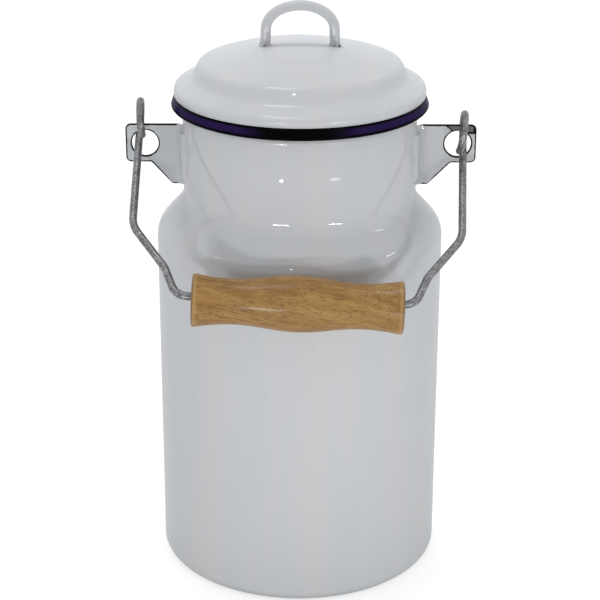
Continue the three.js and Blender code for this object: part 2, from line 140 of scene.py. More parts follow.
def offset_left(line, distance):
    """The line moved to its left: each point goes along the mean of its two edges' normals, by the
    distance over the cosine of half the turn there. A point on the axis stays on the axis."""
    edge = np.diff(line, axis=0)
    edge /= np.linalg.norm(edge, axis=1)[:, None]
    arriving = np.vstack([edge[:1], edge])
    leaving = np.vstack([edge, edge[-1:]])
    heading = arriving + leaving
    heading /= np.linalg.norm(heading, axis=1)[:, None]
    mitre = distance / (heading * leaving).sum(1)
    moved = line + np.stack([-heading[:, 1], heading[:, 0]], axis=1) * mitre[:, None]
    moved[line[:, 0] == 0, 0] = 0
    return moved


def turned(profile, sides=TURNED_SIDES):
    """A profile of radius and height turned round the Z axis: x and y are the radius times the
    cosine and sine of the angle."""
    angle = np.linspace(0, 2 * np.pi, sides, endpoint=False)
    radius = profile[:, :1]
    height = np.repeat(profile[:, 1:], sides, axis=1)
    return np.stack([radius * np.cos(angle), radius * np.sin(angle), height], axis=-1)


def add_piece(name, points, body, node, material, rows_close=False, attributes=None):
    """A closed mesh over a grid of points, one face for each cell of four neighbours. The columns close
    on themselves, and the rows may. Points that meet at a pole are merged. It stands for its CAD node."""
    rows, columns = points.shape[:2]
    index = np.arange(rows * columns).reshape(rows, columns)
    below = np.roll(index, -1, axis=0)
    cells = np.stack([index, np.roll(index, -1, axis=1), np.roll(below, -1, axis=1), below], axis=-1)
    cells = cells[:rows if rows_close else rows - 1].reshape(-1, 4)
    mesh = bpy.data.meshes.new(name)
    mesh.from_pydata(points.reshape(-1, 3).tolist(), [], cells.tolist())
    for label, values in (attributes or {}).items():
        layer = mesh.attributes.new(label, "FLOAT", "POINT")
        layer.data.foreach_set("value", values.astype(np.float32).ravel())
    shell = bmesh.new()
    shell.from_mesh(mesh)
    bmesh.ops.remove_doubles(shell, verts=shell.verts, dist=SAME_POINT)
    bmesh.ops.recalc_face_normals(shell, faces=shell.faces)
    shell.to_mesh(mesh)
    shell.free()
    mesh.shade_smooth()
    mesh.materials.append(material)
    piece = bpy.data.objects.new(name, mesh)
    bpy.context.scene.collection.objects.link(piece)
    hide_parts(node)
    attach(piece, body)


def add_node(tree, kind, inputs, **settings):
    """A shader node. Each input is a plain value or the output socket that feeds it."""
    made = tree.nodes.new(kind)
    for name, value in settings.items():
        setattr(made, name, value)
    for name, value in inputs.items():
        if isinstance(value, bpy.types.NodeSocket):
            tree.links.new(value, made.inputs[name])
        else:
            made.inputs[name].default_value = value
    return made


def new_finish(name):
    """A node material with only its main shader: the material, its tree, the shader and the place
    on the piece that its patterns read."""
    material = bpy.data.materials.new(name)
    material.use_nodes = True
    tree = material.node_tree
    shader = tree.nodes["Principled BSDF"]
    place = tree.nodes.new("ShaderNodeTexCoord").outputs["Object"]
    return material, tree, shader, place


def noise(tree, place, scale, detail=2.0, roughness=0.5, distortion=0.0):
    """A soft random pattern from 0 to 1, with features about 1 / scale metres wide."""
    inputs = {"Vector": place, "Scale": scale, "Detail": detail}
    inputs |= {"Roughness": roughness, "Distortion": distortion}
    return add_node(tree, "ShaderNodeTexNoise", inputs).outputs["Fac"]


def stretched(tree, place, scale):
    """The place with each direction scaled, so that a pattern is drawn out along the small ones."""
    return add_node(tree, "ShaderNodeMapping", {"Vector": place, "Scale": scale}).outputs["Vector"]


def between(tree, value, low, high, to_low=0.0, to_high=1.0):
    """A value eased from to_low to to_high as it goes from low to high, which may be the larger of the
    two. A fade is a pair of low and high."""
    inputs = {"Value": value, "From Min": low, "From Max": high, "To Min": to_low, "To Max": to_high}
    return add_node(tree, "ShaderNodeMapRange", inputs, interpolation_type="SMOOTHSTEP").outputs["Result"]


def sum_of(tree, a, b):
    """Two values added."""
    return add_node(tree, "ShaderNodeMath", {0: a, 1: b}, operation="ADD").outputs[0]


def product(tree, a, b):
    """Two values multiplied."""
    return add_node(tree, "ShaderNodeMath", {0: a, 1: b}, operation="MULTIPLY").outputs[0]


def mixed(tree, share, a, b):
    """Colour a where the share is 0 and colour b where it is 1. Both are given as three values."""
    made = tree.nodes.new("ShaderNodeMix")
    made.data_type = "RGBA"
    ends = (("Factor", share), ("A", a), ("B", b))
    for label, value in ends:
        socket = [s for s in made.inputs if s.name == label and (label == "Factor" or s.type == "RGBA")][0]
        if isinstance(value, bpy.types.NodeSocket):
            tree.links.new(value, socket)
        elif label == "Factor":
            socket.default_value = value
        else:
            socket.default_value = (*value, 1)
    return [s for s in made.outputs if s.type == "RGBA"][0]


def specks(tree, place, scale, size):
    """1 inside small round specks about size metres across, scattered with 1 / scale metres between. It
    falls off from the inner to the outer share of the size."""
    cells = add_node(tree, "ShaderNodeTexVoronoi", {"Vector": place, "Scale": scale}).outputs["Distance"]
    return between(tree, cells, size * scale * SPECK_OUTER_SHARE, size * scale * SPECK_INNER_SHARE)


def raise_surface(tree, shader, height):
    """Bends the shading as a height in metres over the surface would."""
    bump = add_node(tree, "ShaderNodeBump", {"Height": height, "Distance": 1.0, "Strength": 1.0})
    tree.links.new(bump.outputs["Normal"], shader.inputs["Normal"])


def enamel_surface(tree, place):
    """The height of fired enamel: broad waves of a few hundredths of a millimetre and a fine ripple."""
    broad = product(tree, noise(tree, place, WAVES_PER_METRE, detail=1.0), WAVE_HEIGHT)
    ripple = product(tree, noise(tree, place, RIPPLES_PER_METRE, detail=1.0), RIPPLE_HEIGHT)
    return sum_of(tree, broad, ripple)


def white_tone(tree, place):
    """White enamel's colour: neutral and cool patches, drawn out downwards where it ran, and specks."""
    runs = noise(tree, stretched(tree, place, RUNS_DRAWN_OUT), RUNS_PER_METRE)
    tone = mixed(tree, between(tree, runs, *RUNS_FADE), WHITE_COOL, WHITE_NEUTRAL)
    speck_share = product(tree, specks(tree, place, SPECKS_PER_METRE, SPECK_SIZE), SPECK_STRENGTH)
    return mixed(tree, speck_share, tone, SPECK_TONE)


def polished(shader, gloss, index=ENAMEL_INDEX, haze=ENAMEL_HAZE):
    """A thin glassy coat over a dead white or dark ground. All the gloss is in the coat: its weight
    and its index of refraction set how strong the mirror images on it are, and haze blurs them."""
    shader.inputs["Roughness"].default_value = GROUND_ROUGHNESS
    shader.inputs["Specular IOR Level"].default_value = 0.0
    shader.inputs["Coat Weight"].default_value = gloss
    shader.inputs["Coat IOR"].default_value = index
    shader.inputs["Coat Roughness"].default_value = haze


white_enamel, tree, shader, place = new_finish("white_enamel")
tree.links.new(white_tone(tree, place), shader.inputs["Base Color"])
polished(shader, WHITE_GLOSS)
raise_surface(tree, shader, enamel_surface(tree, place))

groove_in = BASE_GROOVE_RADIUS - BASE_GROOVE_HALF_WIDTH
groove_out = BASE_GROOVE_RADIUS + BASE_GROOVE_HALF_WIDTH
body_outer = spaced(rounded_line([
    (0, 0, 0),
    (groove_in, 0, BASE_GROOVE_ROUND),
    (groove_in + BASE_GROOVE_SLOPE, BASE_GROOVE_DEPTH, BASE_GROOVE_ROUND),
    (groove_out - BASE_GROOVE_SLOPE, BASE_GROOVE_DEPTH, BASE_GROOVE_ROUND),
    (groove_out, 0, BASE_GROOVE_ROUND),
    (body_radius, 0, BASE_CORNER_ROUND),
    (body_radius, SHOULDER_HEIGHT, SHOULDER_ROUND),
    (NECK_RADIUS, SHOULDER_HEIGHT + SHOULDER_RISE, NECK_ROUND),
    (NECK_RADIUS, mouth_height, 0),
]))
body_profile = np.vstack([body_outer, offset_left(body_outer, SHEET)[::-1]])
add_piece("can_shell", turned(body_profile), "can", "can_body", white_enamel)

# Mouth rim. The neck's edge is rolled outwards to a bead, and dipped in a dark violet enamel after
# the white. Its colour is painted almost black in front and behind as painted shade, and violet towards the
# ears.
MOUTH_LIP_ROUND = 0.0011
DARK_DEEP = (0.0012, 0.0008, 0.0012)
DARK_VIOLET = (0.020, 0.010, 0.060)
DARK_GLOSS = 0.22
DARK_INDEX = 1.2
# Painted shade: the colour is near black within this half width of the front and back, and violet beyond
# the end of the fade.
PAINTED_SHADE_HALF_WIDTH = 0.012
PAINTED_SHADE_FADE_END = 0.028
SHADE_BORDER_UNEVENNESS = 0.012
SHADE_BORDER_PATCHES_PER_METRE = 60

rim_low, rim_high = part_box("mouth_rim")
bead_radius = (rim_high.z - rim_low.z) / 2
bead_centre = np.array([rim_high.x - bead_radius, rim_low.z + bead_radius])
neck_inner = NECK_RADIUS - SHEET


def coordinate(tree, place, letter):
    """One of the three coordinates of a place."""
    return add_node(tree, "ShaderNodeSeparateXYZ", {"Vector": place}).outputs[letter]


def dark_tone(tree, place):
    """The dark enamel's colour: painted almost black in front and behind as painted shade, and violet
    towards the ears, with an uneven border between.
    """
    across = coordinate(tree, place, "X")
    sideways = add_node(tree, "ShaderNodeMath", {0: across}, operation="ABSOLUTE").outputs[0]
    uneven = product(tree, noise(tree, place, SHADE_BORDER_PATCHES_PER_METRE), SHADE_BORDER_UNEVENNESS)
    shade_end = PAINTED_SHADE_HALF_WIDTH + SHADE_BORDER_UNEVENNESS / 2
    violet_start = PAINTED_SHADE_FADE_END + SHADE_BORDER_UNEVENNESS / 2
    # Painted shade: the share of violet rises away from the front and back, so both are painted almost
    # black.
    thin = between(tree, sum_of(tree, sideways, uneven), shade_end, violet_start)
    return mixed(tree, thin, DARK_DEEP, DARK_VIOLET)


dark_enamel, tree, shader, place = new_finish("dark_enamel")
tree.links.new(dark_tone(tree, place), shader.inputs["Base Color"])
polished(shader, DARK_GLOSS, DARK_INDEX)
raise_surface(tree, shader, enamel_surface(tree, place))

bead_angle = np.linspace(-np.pi / 2, np.pi / 2, 2 * ARC_STEPS)
bead = bead_centre + bead_radius * np.stack([np.cos(bead_angle), np.sin(bead_angle)], axis=1)
lip = rounded_line([
    (bead_centre[0], rim_high.z, 0),
    (neck_inner, rim_high.z, MOUTH_LIP_ROUND),
    (neck_inner, rim_low.z, 0),
])
mouth_profile = np.vstack([bead, lip[1:]])
mouth_points = turned(mouth_profile)
add_piece("rolled_mouth", mouth_points, "can", "mouth_rim", dark_enamel, rows_close=True)

# Ears. Sheet tabs with a punched hole, each bent at a right angle to a flange that is welded to the
# neck before the can is dipped. Enamel draws back from the sheared edges, so they show dark. The
# bail has rubbed the right one bare above its hole.
EAR_DROP = 0.0095
EAR_HEIGHT = 0.0281
EAR_TAB_HEIGHT = 0.0178
EAR_TAB_LENGTH = 0.0114
EAR_ROOT_LENGTH = 0.0052
EAR_CORNER_ROUND = 0.0024
EAR_HEEL_ROUND = 0.002
EAR_FLANGE_WIDTH = 0.016
EAR_FLANGE_RISE = 0.0051
EAR_FLANGE_ROUND = 0.0015
EAR_BEND_ROUND = 0.0026
EAR_EDGE_ROUND = 0.0003
EAR_HOLE_RADIUS = 0.006
EAR_LEFT_HOLE_INSET = 0.0088
EAR_RIGHT_HOLE_INSET = 0.0083
EAR_HOLE_DROP = 0.00885
EAR_RUN_OUT = 0.0045
EAR_WELD_REACH = 0.002
EAR_COLUMNS = 300
EAR_FACE_ROWS = 44
EAR_EDGE_ROWS = 5
FINE_SPACING = 0.0005
SEAT_GAP = 0.0003
WORN_LEFT = -0.0063
WORN_RIGHT = 0.0079
WORN_LOW = 0.0046
WORN_SLANT = 1.15
BURNT_EDGE = (0.006, 0.005, 0.005)
BURNT_FADE = (0.00100, 0.00080)
EDGE_RAGGEDNESS = 0.0005
RAGS_PER_METRE = 700
RUBBED_FADE = (0.0003, 0.0005)
BARE_FADE = (0.0012, 0.0015)
CHIP_WIDTH = 0.0008
CHIPS_PER_METRE = 600
STEEL_DARK = (0.12, 0.117, 0.115)
STEEL_LIGHT = (0.27, 0.265, 0.26)
STEEL_SPOTS_PER_METRE = 900
WELD_LUMP_HEIGHT = 0.0002
WELD_LUMPS_PER_METRE = 350
EAR_GLOSS = 0.35
BARE_GLOSS = 0.05

ear_top = mouth_height - EAR_DROP
flange_radius = NECK_RADIUS + SEAT_GAP + SHEET / 2
bend_angle = np.arcsin(EAR_BEND_ROUND / (flange_radius + EAR_BEND_ROUND))
bend_run = EAR_BEND_ROUND * (np.pi / 2 - bend_angle)
bend_centre = np.array([(flange_radius + EAR_BEND_ROUND) * np.cos(bend_angle), -EAR_BEND_ROUND])


def carried(tree, label):
    """The number that the mesh carries at each point under a label."""
    return add_node(tree, "ShaderNodeAttribute", {}, attribute_name=label).outputs["Fac"]


ear_enamel, tree, shader, place = new_finish("ear_enamel")
ragged = product(tree, noise(tree, place, RAGS_PER_METRE, detail=3.0), EDGE_RAGGEDNESS)
burnt = between(tree, sum_of(tree, carried(tree, "edge_gap"), ragged), *BURNT_FADE)
chips = product(tree, noise(tree, place, CHIPS_PER_METRE, detail=3.0), CHIP_WIDTH)
chipped = sum_of(tree, carried(tree, "wear"), chips)
rubbed = between(tree, chipped, *RUBBED_FADE)
steel = mixed(tree, noise(tree, place, STEEL_SPOTS_PER_METRE, detail=3.0), STEEL_DARK, STEEL_LIGHT)
steel = mixed(tree, between(tree, chipped, *BARE_FADE), BURNT_EDGE, steel)
tone = mixed(tree, rubbed, white_tone(tree, place), steel)
tree.links.new(mixed(tree, burnt, tone, BURNT_EDGE), shader.inputs["Base Color"])
polished(shader, EAR_GLOSS)
bare = add_node(tree, "ShaderNodeMath", {0: burnt, 1: rubbed}, operation="MAXIMUM").outputs[0]
tree.links.new(between(tree, bare, 0.0, 1.0, EAR_GLOSS, BARE_GLOSS), shader.inputs["Coat Weight"])
lumps = product(tree, noise(tree, place, WELD_LUMPS_PER_METRE), WELD_LUMP_HEIGHT)
lumps = product(tree, carried(tree, "weld"), lumps)
raise_surface(tree, shader, sum_of(tree, enamel_surface(tree, place), lumps))


def bent_sheet(along, height, lift):
    """Where a point of the flat tab goes once bent. Beyond the bend the sheet runs straight out along X.
    On the bend it turns about the bend's centre, and short of it round the neck's axis. Lift is the
    distance from the sheet's middle, along its left side."""
    on_bend = np.pi / 2 - along / EAR_BEND_ROUND
    on_neck = -bend_angle + (along + bend_run) / flange_radius
    straight_x = bend_centre[0] + along
    bend_x = bend_centre[0] + (EAR_BEND_ROUND + lift) * np.cos(on_bend)
    bend_y = bend_centre[1] + (EAR_BEND_ROUND + lift) * np.sin(on_bend)
    neck_x = (flange_radius - lift) * np.cos(on_neck)
    neck_y = (flange_radius - lift) * np.sin(on_neck)
    is_bend = along < 0
    is_neck = along < -bend_run
    x = np.where(is_neck, neck_x, np.where(is_bend, bend_x, straight_x))
    y = np.where(is_neck, neck_y, np.where(is_bend, bend_y, lift))
    return np.stack([x, y, height], axis=-1)


def add_ear(name, node, side, hole_inset, is_worn):
    """The tab as a ring of sheet round its hole. Each column runs straight from the hole's edge to the
    outline over the front, round the outline's edge and back over the rear to the hole. The rows near
    an edge follow its rounding. Near the flange's edges both faces sink to the neck's wall, as the
    enamel there runs out over the weld."""
    low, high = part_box(node)
    reach = max(abs(low.x), abs(high.x))
    start = bend_centre[0]
    heel = ear_top - EAR_HEIGHT
    tab_bottom = ear_top - EAR_TAB_HEIGHT
    free_edge = -bend_run - (EAR_FLANGE_WIDTH - bend_angle * flange_radius)
    outline = spaced(rounded_line([
        (reach - start, ear_top, EAR_CORNER_ROUND),
        (reach - start, tab_bottom, EAR_CORNER_ROUND),
        (reach - EAR_TAB_LENGTH - start, tab_bottom, EAR_FLANGE_ROUND),
        (NECK_RADIUS + EAR_ROOT_LENGTH - start, heel, EAR_HEEL_ROUND),
        (-bend_run, heel, EAR_FLANGE_ROUND),
        (free_edge, heel + EAR_FLANGE_RISE, EAR_FLANGE_ROUND),
        (free_edge, ear_top, EAR_FLANGE_ROUND),
    ], closed=True), FINE_SPACING)
    outline = np.vstack([outline, outline[:1]])
    run = run_of(outline)
    stops = np.linspace(0, run[-1], EAR_COLUMNS, endpoint=False)
    rim = np.stack([np.interp(stops, run, outline[:, k]) for k in range(2)], axis=1)
    hole = np.array([reach - hole_inset - start, ear_top - EAR_HOLE_DROP])
    spoke = rim - hole
    spoke_length = np.linalg.norm(spoke, axis=1)
    spoke /= spoke_length[:, None]
    tangent = np.roll(rim, -1, axis=0) - np.roll(rim, 1, axis=0)
    tangent /= np.linalg.norm(tangent, axis=1)[:, None]
    squareness = np.abs(spoke[:, 0] * tangent[:, 1] - spoke[:, 1] * tangent[:, 0])
    width = spoke_length - EAR_HOLE_RADIUS

    quarter = np.linspace(0, np.pi / 2, EAR_EDGE_ROWS)
    near = EAR_EDGE_ROUND * (1 - np.cos(quarter))
    lift = SHEET / 2 - EAR_EDGE_ROUND * (1 - np.sin(quarter))
    share = np.linspace(0, 1, EAR_FACE_ROWS + 2)[1:-1]
    fixed = np.r_[near, EAR_EDGE_ROUND * (1 - 2 * share), -near[::-1]]
    growing = np.r_[np.zeros_like(near), share, np.ones_like(near)]
    height = np.r_[lift, np.full_like(share, SHEET / 2), lift[::-1]]
    fixed = np.r_[fixed, fixed[::-1]][:, None]
    growing = np.r_[growing, growing[::-1]][:, None]
    height = np.r_[height, -height[::-1]][:, None]

    outwards = fixed + growing * width
    along = hole[0] + spoke[:, 0] * (EAR_HOLE_RADIUS + outwards)
    up = hole[1] + spoke[:, 1] * (EAR_HOLE_RADIUS + outwards)
    to_edge = np.clip((width - outwards) * squareness, 0, None)
    on_flange = np.clip(-along / bend_run, 0, 1) ** 2
    run_out = np.clip(1 - to_edge / EAR_RUN_OUT, 0, 1)
    run_out = on_flange * run_out ** 2 * (3 - 2 * run_out)
    under = SHEET / 2 + SEAT_GAP + EAR_EDGE_ROUND
    points = bent_sheet(along, up, height + (under - height) * run_out)
    points[..., 0] *= side
    gap = np.minimum(outwards, to_edge) + EAR_RUN_OUT * on_flange
    beside = along - hole[0]
    above = up - hole[1]
    slanted = WORN_LEFT + WORN_SLANT * (EAR_HOLE_DROP - above)
    wear = np.minimum.reduce([beside - slanted, WORN_RIGHT - beside, above - WORN_LOW])
    wear = wear if is_worn else np.full_like(wear, -EAR_HEIGHT)
    weld = np.clip(1 - along / EAR_WELD_REACH, 0, 1)
    layers = {"edge_gap": gap, "wear": wear, "weld": weld}
    add_piece(name, points, "can", node, ear_enamel, rows_close=True, attributes=layers)


add_ear("ear_left", "left_ear", -1, EAR_LEFT_HOLE_INSET, is_worn=False)
add_ear("ear_right", "right_ear", 1, EAR_RIGHT_HOLE_INSET, is_worn=True)

# Lid shell. One pressed sheet in the same white enamel: a low wall, a sloping step, a groove and a
# domed top. Pressing leaves faint rings in the metal that the enamel doesn't hide.
LID_EDGE_HEIGHT = 0.0043
LID_WALL_HEIGHT = 0.0039
LID_SHOULDER_ROUND = 0.0035
LID_STEP_RADIUS = 0.0479
LID_STEP_RISE = 0.0044
LID_STEP_ROUND = 0.005
DOME_RADIUS = 0.0454
DOME_WALL_HEIGHT = 0.00575
DOME_ROUND = 0.0045
DOME_CROWN_RISE = 0.0084
CROWN_STEPS = 12
RING_SCALE = 90
RING_WAVER = 1.5
RING_WAVER_SCALE = 0.3
RING_HEIGHT = 0.00004

lid_low, lid_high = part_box("lid_shell")
lid_radius = lid_high.x
lid_shoulder = lid_low.z - SEAT_GAP + LID_WALL_HEIGHT
lid_step = lid_shoulder + LID_STEP_RISE
dome_edge = lid_step + DOME_WALL_HEIGHT
lid_top = dome_edge + DOME_CROWN_RISE

lid_enamel, tree, shader, place = new_finish("lid_enamel")
tree.links.new(white_tone(tree, place), shader.inputs["Base Color"])
polished(shader, WHITE_GLOSS)
rings = add_node(
    tree,
    "ShaderNodeTexWave",
    {
        "Vector": place,
        "Scale": RING_SCALE,
        "Distortion": RING_WAVER,
        "Detail": 1.0,
        "Detail Scale": RING_WAVER_SCALE,
    },
    wave_type="RINGS",
    rings_direction="Z",
).outputs["Fac"]
pressed = product(tree, rings, RING_HEIGHT)
raise_surface(tree, shader, sum_of(tree, enamel_surface(tree, place), pressed))

crown_radius = (DOME_RADIUS ** 2 + DOME_CROWN_RISE ** 2) / (2 * DOME_CROWN_RISE)


def crown_height(radius):
    """The dome's height at a radius: a shallow part of a sphere that falls off from the lid's top."""
    return lid_top - crown_radius + np.sqrt(crown_radius ** 2 - radius ** 2)


crown = np.linspace(DOME_RADIUS, 0, CROWN_STEPS + 1)[1:]
lid_outer = spaced(np.vstack([
    rounded_line([
        (lid_radius, lid_low.z, 0),
        (lid_radius, lid_shoulder, LID_SHOULDER_ROUND),
        (LID_STEP_RADIUS, lid_step, LID_STEP_ROUND),
        (DOME_RADIUS, dome_edge, DOME_ROUND),
        (crown[0], crown_height(crown[0]), 0),
    ]),
    np.stack([crown[1:], crown_height(crown[1:])], axis=1),
]))
lid_profile = np.vstack([offset_left(lid_outer, SHEET)[::-1], lid_outer])
add_piece("lid_pressing", turned(lid_profile), "lid", "lid_shell", lid_enamel)

# Lid rim. The lid's own edge, flared over the mouth bead and dipped in the dark enamel. A black
# line of painted shade runs along the gap under the white lid, and another along the edge's foot.
LID_EDGE_FLARE_ANGLE = np.radians(20)
LID_EDGE_ROUND = 0.002
LID_EDGE_SEAM_SHADE = 0.0011
LID_EDGE_FOOT_SHADE = 0.0018

slope = np.tan(LID_EDGE_FLARE_ANGLE)
touch = bead_centre + (bead_radius + SEAT_GAP + SHEET / 2) * np.array(
    [np.cos(LID_EDGE_FLARE_ANGLE), np.sin(LID_EDGE_FLARE_ANGLE)]
)
toe_height = bead_centre[1] - bead_radius + SHEET / 2
toe = np.array([touch[0] + (touch[1] - toe_height) * slope, toe_height])
knee_radius = lid_radius - SHEET / 2
edge_line = spaced(rounded_line([
    (toe[0], toe[1], 0),
    (knee_radius, touch[1] + (touch[0] - knee_radius) / slope, LID_EDGE_ROUND),
    (knee_radius, toe_height + LID_EDGE_HEIGHT, 0),
]), FINE_SPACING)
edge_outside = offset_left(edge_line, -SHEET / 2)
edge_inside = offset_left(edge_line, SHEET / 2)
lip_angle = np.linspace(0, np.pi, ARC_STEPS + 2)[1:-1]
lip_spoke = edge_inside[0] - toe
lip = toe + np.stack([
    lip_spoke[0] * np.cos(lip_angle) - lip_spoke[1] * np.sin(lip_angle),
    lip_spoke[0] * np.sin(lip_angle) + lip_spoke[1] * np.cos(lip_angle),
], axis=1)
edge_profile = np.vstack([lip, edge_outside, edge_inside[::-1]])

edge_enamel, tree, shader, place = new_finish("edge_enamel")
edge_top = toe_height + LID_EDGE_HEIGHT
edge_foot = toe_height - SHEET / 2
height = coordinate(tree, place, "Z")
# Painted shade: near-black lines along the top, in the gap under the white lid, and along the foot of the
# edge.
seam_shade = between(tree, height, edge_top - LID_EDGE_SEAM_SHADE, edge_top - LID_EDGE_SEAM_SHADE / 2)
foot_shade = between(tree, height, edge_foot + LID_EDGE_FOOT_SHADE, edge_foot + LID_EDGE_FOOT_SHADE / 2)
painted_shade_lines = sum_of(tree, seam_shade, foot_shade)
tree.links.new(mixed(tree, painted_shade_lines, dark_tone(tree, place), DARK_DEEP), shader.inputs["Base Color"])
polished(shader, DARK_GLOSS, DARK_INDEX)
raise_surface(tree, shader, enamel_surface(tree, place))
add_piece("lid_edge", turned(edge_profile), "lid", "lid_rim", edge_enamel, rows_close=True)

# Lid collar. A band welded under the lid's step that plugs into the neck, with a toe bent inwards
# to lead it in. It is enamelled white with the lid.
COLLAR_WALL = 0.001
COLLAR_TOE_HEIGHT = 0.0024
COLLAR_TOE_INSET = 0.0008
COLLAR_TOE_ROUND = 0.003

collar_low, collar_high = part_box("lid_collar")
collar_radius = collar_high.x - COLLAR_WALL / 2
step_slope = LID_STEP_RISE / (lid_radius - LID_STEP_RADIUS)
collar_top = lid_shoulder + (lid_radius - collar_radius) * step_slope - SHEET * np.hypot(1, step_slope)
collar_line = spaced(rounded_line([
    (collar_radius - COLLAR_TOE_INSET, collar_low.z, 0),
    (collar_radius, collar_low.z + COLLAR_TOE_HEIGHT, COLLAR_TOE_ROUND),
    (collar_radius, collar_top, 0),
]), FINE_SPACING)
collar_profile = np.vstack([
    offset_left(collar_line, -COLLAR_WALL / 2),
    offset_left(collar_line, COLLAR_WALL / 2)[::-1],
])
collar_points = turned(collar_profile)
add_piece("collar_band", collar_points, "lid", "lid_collar", lid_enamel, rows_close=True)

# Lid handle. A steel rod bent to a bow, with both feet welded to the dome before the lid is dipped.
# Enamel pools round the feet, where it is thin enough in places to show dark.
LID_ROD_HALF_SPAN = 0.0155
LID_ROD_ARCH_HALF_SPAN = 0.0151
LID_ROD_ARCH_RISE = 0.0104
LID_ROD_ARCH_STEPS = 64
LID_ROD_SPACING = 0.0004
LID_ROD_SECTIONS = 160
LID_FOOT_FLARE = 0.0006
LID_FOOT_FLARE_HEIGHT = 0.0016
LID_FOOT_SINK = 0.0006
ROD_SIDES = 32
THIN_ENAMEL_TOP = 0.004
THIN_ENAMEL_FOOT = 0.0005
THIN_SPOTS_PER_METRE = 700
THIN_SPOTS_FADE = (0.54, 0.6)
HANDLE_HAZE = 0.12

rod_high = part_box("lid_handle")[1]
rod_radius = rod_high.y


def tube(path, stops, radius, reference, sides):
    """A round section carried along a path, at stops that are distances along it. Each section lies
    square to the path: one axis is the heading crossed with the reference, and the other is that one
    crossed with the heading."""
    run = run_of(path)
    heading = np.gradient(path, run, axis=0)
    at_stops = [
        np.stack([np.interp(stops, run, values[:, k]) for k in range(3)], axis=1)
        for values in (path, heading, np.broadcast_to(reference, path.shape))
    ]
    centre, heading, reference = at_stops
    heading /= np.linalg.norm(heading, axis=1)[:, None]
    across = np.cross(heading, reference)
    across /= np.linalg.norm(across, axis=1)[:, None]
    up = np.cross(across, heading)
    angle = np.linspace(0, 2 * np.pi, sides, endpoint=False)[None, :, None]
    ring = np.cos(angle) * across[:, None] + np.sin(angle) * up[:, None]
    return centre[:, None] + np.broadcast_to(radius, len(stops))[:, None, None] * ring


foot_height = crown_height(LID_ROD_HALF_SPAN) - LID_FOOT_SINK
spring = rod_high.z - rod_radius - LID_ROD_ARCH_RISE
arch_angle = np.linspace(np.pi, 0, LID_ROD_ARCH_STEPS)
arch = np.stack([
    LID_ROD_ARCH_HALF_SPAN * np.cos(arch_angle),
    spring + LID_ROD_ARCH_RISE * np.sin(arch_angle),
], axis=1)
left_foot = (-LID_ROD_HALF_SPAN, foot_height)
right_foot = (LID_ROD_HALF_SPAN, foot_height)
bow = spaced(np.vstack([left_foot, arch, right_foot]), LID_ROD_SPACING)
bow_path = np.stack([bow[:, 0], bow[:, 0] * 0, bow[:, 1]], axis=1)
bow_run = run_of(bow_path)[-1]
bow_stops = np.r_[0, np.linspace(0, bow_run, LID_ROD_SECTIONS), bow_run]
above_foot = np.minimum(bow_stops, bow_run - bow_stops) - LID_FOOT_SINK
flare = LID_FOOT_FLARE * np.clip(1 - above_foot / LID_FOOT_FLARE_HEIGHT, 0, 1) ** 2
bow_radius = rod_radius + flare
bow_radius[[0, -1]] = 0

handle_enamel, tree, shader, place = new_finish("handle_enamel")
thin_top = foot_height + THIN_ENAMEL_TOP
thin_foot = foot_height + THIN_ENAMEL_FOOT
foot_share = between(tree, coordinate(tree, place, "Z"), thin_top, thin_foot)
spots = between(tree, noise(tree, place, THIN_SPOTS_PER_METRE, detail=3.0), *THIN_SPOTS_FADE)
thin = product(tree, foot_share, spots)
tree.links.new(mixed(tree, thin, white_tone(tree, place), SPECK_TONE), shader.inputs["Base Color"])
polished(shader, WHITE_GLOSS, haze=HANDLE_HAZE)
raise_surface(tree, shader, enamel_surface(tree, place))
bow_points = tube(bow_path, bow_stops, bow_radius, (0, 1, 0), ROD_SIDES)
add_piece("lid_bow", bow_points, "lid", "lid_handle", handle_enamel)

# Bail wire. One length of galvanised wire, bent cold: an open eye at each end hooks through an ear,
# and the middle run carries the grip. The zinc is dull, mottled and a little rubbed.
WIRE_RADIUS = 0.00175
WIRE_END_ROUND = 0.0003
WIRE_END_STEPS = 4
WIRE_SIDES = 24
WIRE_SPACING = 0.0006
LEG_SPACING = 0.001
EYE_RADIUS = 0.0084
EYE_LEFT_TURN = np.radians(278)
EYE_RIGHT_TURN = np.radians(300)
EYE_PITCH = 0.0032
EYE_FORWARD = 0.002
EYE_STEPS = 96
BAIL_HALF_SPAN = 0.073086
BAIL_DROP = 0.0455
BAIL_RUN_SHIFT = -0.0005
LEG_LEFT_TOE_IN = 0.0009
LEG_RIGHT_TOE_IN = 0.0019
LEG_BEND_SETBACK = 0.0376
LEG_BEND_ROUND = 0.016
ELBOW_SETBACK = 0.015
ELBOW_FLARE = 0.0057
ELBOW_ROUND = 0.012
THROAT_CLEARANCE = 0.00575
THROAT_ROUND = 0.0075
GRIP_LENGTH = 0.0896
GRIP_BELLY_RADIUS = 0.012
ZINC_DARK = (0.12, 0.12, 0.125)
ZINC_LIGHT = (0.31, 0.31, 0.32)
ZINC_FADE = (0.6, 0.95)
ZINC_PATCHES_PER_METRE = 260
ZINC_PATCH_SHARE = 0.5
ZINC_SPOTS_PER_METRE = 1500
ZINC_SPOT_HEIGHT = 0.00004
ZINC_SPOT_FADE = (0.3, 0.7)
ZINC_DULL = 0.5
ZINC_RUBBED = 0.3
ZINC_METAL_SHARE = 0.75
ZINC_SPECULAR = 0.3

joints = {joint["name"]: joint for joint in frame["joints"]}
hinge = np.array(joints["bail_swing"]["pos_m"])
hinge_line = -np.array(joints["bail_swing"]["axis"])
tilt = -np.arcsin(hinge_line[2])
forward = body_radius + GRIP_BELLY_RADIUS + SEAT_GAP - EYE_FORWARD
drop = BAIL_DROP + np.sqrt(EYE_RADIUS ** 2 - EYE_FORWARD ** 2)
bail_length = np.hypot(forward, drop)
bail_reach = np.sqrt(bail_length ** 2 - EYE_RADIUS ** 2)
rest_turn = np.pi - np.arctan2(forward, drop) - np.arcsin(EYE_RADIUS / bail_length)


